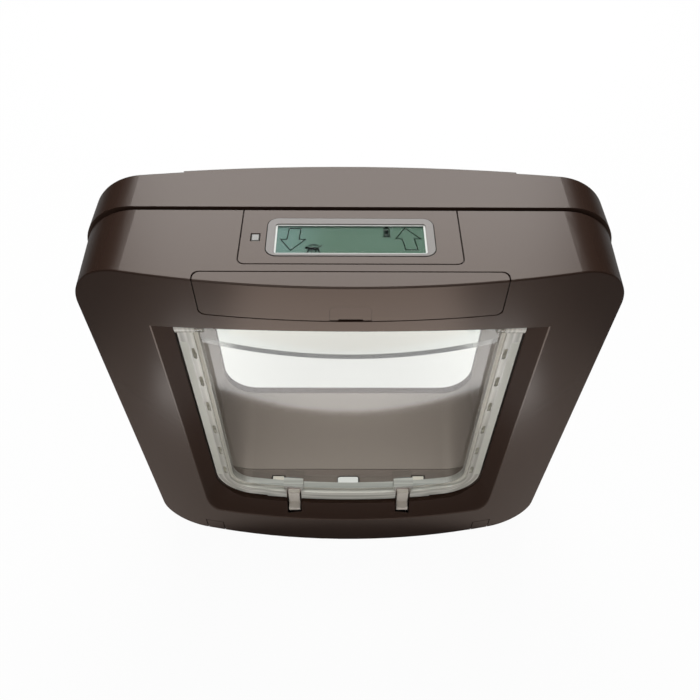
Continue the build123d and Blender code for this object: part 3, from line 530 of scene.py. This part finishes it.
def flat_piece(name, outlines, z_mm, material, body):
    """Thin printed shape from plan outlines in millimetres, lying at a height."""
    vertices = []
    faces = []
    for outline in outlines:
        start = len(vertices)
        count = len(outline)
        for z in (z_mm, z_mm + ICON_THICKNESS):
            vertices += [(x * MM, y * MM, z * MM) for x, y in outline]
        faces.append([start + i for i in reversed(range(count))])
        faces.append([start + count + i for i in range(count)])
        for i in range(count):
            after = (i + 1) % count
            faces.append([start + i, start + after, start + count + after, start + count + i])
    mesh = bpy.data.meshes.new(name)
    mesh.from_pydata(vertices, [], faces)
    mesh.materials.append(material)
    piece = bpy.data.objects.new(name, mesh)
    bpy.context.scene.collection.objects.link(piece)
    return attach(piece, body)


def stroke(start, end, width=LINE_WIDTH):
    """Rectangle along a line, a little longer than the line so that corners close."""
    a = Vector(start)
    b = Vector(end)
    along = (b - a).normalized() * width / 2
    across = Vector((-along.y, along.x))
    corners = (a - along - across, b + along - across, b + along + across, a - along + across)
    return [tuple(corner) for corner in corners]


def strokes(points, width=LINE_WIDTH):
    """Line drawn through points."""
    return [stroke(a, b, width) for a, b in zip(points, points[1:])]


def arrow(tip, direction, lean):
    """Outlined arrow along Y; its tail stands to the right of its tip by the lean."""
    right = [(0, 0), (ARROW_HEAD_HALF, ARROW_HEAD), (ARROW_SHAFT_HALF, ARROW_HEAD),
             (ARROW_SHAFT_HALF, ARROW_LENGTH)]
    left = [(-aside, back) for aside, back in reversed(right)]
    x, y = tip
    return strokes([(x + aside + lean * back / ARROW_LENGTH, y - direction * back)
                    for aside, back in right + left])


def rectangle(x, y, width, height):
    """Plan rectangle about its middle."""
    return [(x - width / 2, y - height / 2), (x + width / 2, y - height / 2),
            (x + width / 2, y + height / 2), (x - width / 2, y + height / 2)]


def ellipse(x, y, half_width, half_height):
    """Plan ellipse about its middle."""
    angles = [2 * math.pi * i / ELLIPSE_POINTS for i in range(ELLIPSE_POINTS)]
    return [(x + half_width * math.cos(a), y + half_height * math.sin(a)) for a in angles]


def battery_icon(x, y):
    """Small upright battery with one charge block."""
    case = rectangle(x, y, *BATTERY_CASE)
    blocks = [rectangle(x, y + rise, width, height) for rise, width, height in BATTERY_BLOCKS]
    return strokes(case + case[:1]) + blocks


def animal_icon(x, y):
    """Plain walking animal under two arcs."""
    shapes = [ellipse(x + dx, y + dy, *halves) for dx, dy, *halves in ANIMAL_BODY]
    for dx, lean in ANIMAL_LEGS:
        shapes.append(stroke((x + dx, y + LEG_TOP), (x + dx + lean, y + LEG_FOOT), LEG_WIDTH))
    tail = [(x + dx, y + dy) for dx, dy in (TAIL_START, TAIL_END)]
    shapes += strokes(tail, TAIL_WIDTH)
    for radius in ARC_RADII:
        arc = [(x + radius * math.cos(a), y + ARC_RISE + ARC_FLATTEN * radius * math.sin(a))
               for a in map(math.radians, ARC_ANGLES)]
        shapes += strokes(arc, ARC_WIDTH)
    return shapes


def dress_display():
    """Printed symbols on the display and the pale line round it."""
    ink, _ = new_material("display ink", INK, INK_ROUGHNESS, Specular_IOR_Level=0.0)
    pale, _ = new_material("display surround", SURROUND_WHITE, SURROUND_ROUGHNESS)
    symbols = {
        "display_down_arrow": arrow(DOWN_ARROW, -1, DOWN_ARROW_LEAN),
        "display_up_arrow": arrow(UP_ARROW, 1, UP_ARROW_LEAN),
        "display_battery": battery_icon(*BATTERY_ICON),
        "display_animal": animal_icon(*ANIMAL_ICON),
    }
    _, display_high = (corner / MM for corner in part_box("lcd_module"))
    for name, outlines in symbols.items():
        flat_piece(name, outlines, display_high.z + ICON_LIFT, ink, "base")
    low, high = (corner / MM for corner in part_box("lcd_glass"))
    middle_x = (low.x + high.x) / 2
    middle_y = (low.y + high.y) / 2
    width = high.x - low.x
    height = high.y - low.y - 2 * SURROUND_WIDTH
    edge = SURROUND_WIDTH / 2
    strips = [rectangle(middle_x, y, width, SURROUND_WIDTH) for y in (low.y + edge, high.y - edge)]
    strips += [rectangle(x, middle_y, SURROUND_WIDTH, height) for x in (low.x + edge, high.x - edge)]
    flat_piece("display_surround", strips, high.z + ICON_LIFT, pale, "base")


def make_camera():
    """Camera at the photograph's place."""
    pitch, yaw, roll = (math.radians(a) for a in (CAMERA_PITCH, CAMERA_YAW, CAMERA_ROLL))
    turn = Matrix.Rotation(yaw, 3, "Z")
    right = turn @ Vector((1, 0, 0))
    forward = turn @ Vector((0, math.cos(pitch), -math.sin(pitch)))
    down = forward.cross(right)
    camera_right = math.cos(roll) * right + math.sin(roll) * down
    camera_down = math.cos(roll) * down - math.sin(roll) * right
    axes = Matrix((camera_right, -camera_down, -forward)).transposed()
    data = bpy.data.cameras.new("camera")
    data.sensor_width = SENSOR_WIDTH
    data.lens = FOCAL_PIXELS * SENSOR_WIDTH / IMAGE_SIZE
    data.clip_start = NEAREST_SEEN_M
    data.clip_end = FARTHEST_SEEN_M
    camera = bpy.data.objects.new("camera", data)
    camera.matrix_world = Matrix.Translation(Vector(CAMERA_PLACE) * MM) @ axes.to_4x4()
    bpy.context.scene.collection.objects.link(camera)
    bpy.context.scene.camera = camera


def soft_light(name, place, target, size, watts, diffuse=True, glossy=True, tint=(1, 1, 1), spread=180):
    """Rectangular soft lamp aimed at a point, not seen itself.

    It can be left out of matt or of glossy light, and its beam can be narrowed to a spread in degrees.
    """
    data = bpy.data.lights.new(name, "AREA")
    data.shape = "RECTANGLE"
    data.size, data.size_y = size
    data.energy = watts
    data.color = tint
    data.spread = math.radians(spread)
    lamp = bpy.data.objects.new(name, data)
    lamp.location = place
    lamp.rotation_euler = (Vector(target) - Vector(place)).to_track_quat("-Z", "Y").to_euler()
    lamp.visible_camera = False
    lamp.visible_diffuse = diffuse
    lamp.visible_glossy = glossy
    bpy.context.scene.collection.objects.link(lamp)


def make_world():
    """Pale world: white where it is seen, darker to the sides for glossy pieces, softer as a light."""
    world = bpy.data.worlds.new("studio")
    bpy.context.scene.world = world
    world.use_nodes = True
    tree = world.node_tree
    x, _, _ = split_place(tree, "Generated")
    ahead = ramp(tree, value(tree, "ABSOLUTE", x), SIDE_DARK, SIDE_PALE)
    gloss = light_path(tree, "Glossy")
    seen = light_path(tree, "Camera", "Transmission")
    white = value(tree, "MAXIMUM", seen, product(tree, gloss, ahead))
    soft = product(tree, value(tree, "SUBTRACT", 1.0, gloss), WORLD_LIGHT)
    light = tree.nodes["Background"]
    light.inputs["Color"].default_value = (1, 1, 1, 1)
    tree.links.new(value(tree, "MAXIMUM", white, soft), light.inputs["Strength"])


def pool_light(tree, beside, along):
    """Strength of the pool of light that glossy pieces see: none under the object or far to the sides."""
    lit = ramp(tree, beside, POOL_HALF + POOL_FADE, POOL_HALF)
    squares = [value(tree, "POWER", value(tree, "DIVIDE", length, half), 2)
               for length, half in ((beside, SHADE_HALF_X), (along, SHADE_HALF_Y))]
    clear = ramp(tree, value(tree, "ADD", *squares), SHADE_FULL, SHADE_NONE)
    return product(tree, lit, clear, POOL_GLOW)


def back_shade(tree, beside, along):
    """Soft shade on the floor behind the object."""
    behind = value(tree, "SUBTRACT", along, BACK_SHADE_Y)
    aside = value(tree, "DIVIDE", beside, BACK_SHADE_HALF_X)
    away = value(tree, "DIVIDE", behind, BACK_SHADE_HALF_Y)
    return product(tree, ramp(tree, distance(tree, aside, away), 1.0, BACK_SHADE_CORE), BACK_SHADE)


def make_floor():
    """White floor under the object; it looks white and still takes a faint shadow."""
    bpy.ops.mesh.primitive_plane_add(size=FLOOR_SIZE, location=(0, 0, CAD_BOX[0].z))
    floor = bpy.context.object
    floor.name = "floor"
    material = bpy.data.materials.new("white floor")
    material.use_nodes = True
    tree = material.node_tree
    beside, along, _ = own_place(tree)
    gloss = light_path(tree, "Glossy")
    paint = tree.nodes["Principled BSDF"]
    paint.inputs["Roughness"].default_value = FLOOR_ROUGHNESS
    # Painted shade in reflections: glossy pieces see the floor's paint darker.
    shade = value(tree, "SUBTRACT", FLOOR_PAINT, product(tree, gloss, FLOOR_DARK))
    tree.links.new(shade, paint.inputs["Base Color"])
    glow = tree.nodes.new("ShaderNodeEmission")
    strength = value(tree, "SUBTRACT", 1.0, back_shade(tree, beside, along))
    tree.links.new(strength, glow.inputs["Strength"])
    colour = tree.nodes.new("ShaderNodeCombineColor")
    for socket, amount in zip(colour.inputs, POOL_TINT):
        tree.links.new(value(tree, "SUBTRACT", 1.0, product(tree, gloss, 1.0 - amount)), socket)
    tree.links.new(colour.outputs[0], glow.inputs["Color"])
    in_gloss = product(tree, gloss, pool_light(tree, beside, along))
    seen = value(tree, "MAXIMUM", light_path(tree, "Camera", "Transmission"), in_gloss)
    surface = mixed(tree, product(tree, seen, FLOOR_GLOW), paint.outputs[0], glow.outputs[0])
    tree.links.new(surface, tree.nodes["Material Output"].inputs["Surface"])
    floor.data.materials.append(material)


def light_studio():
    """Softboxes above and behind, a small light in the tunnel, a fill in front, reflectors on the floor."""
    for name, place, target, size, watts, options in LAMPS:
        soft_light(name, place, target, size, watts, **options)


bpy.context.scene.view_settings.view_transform = "Standard"
dress_nodes(make_materials())
dress_display()
make_camera()
make_world()
make_floor()
light_studio()
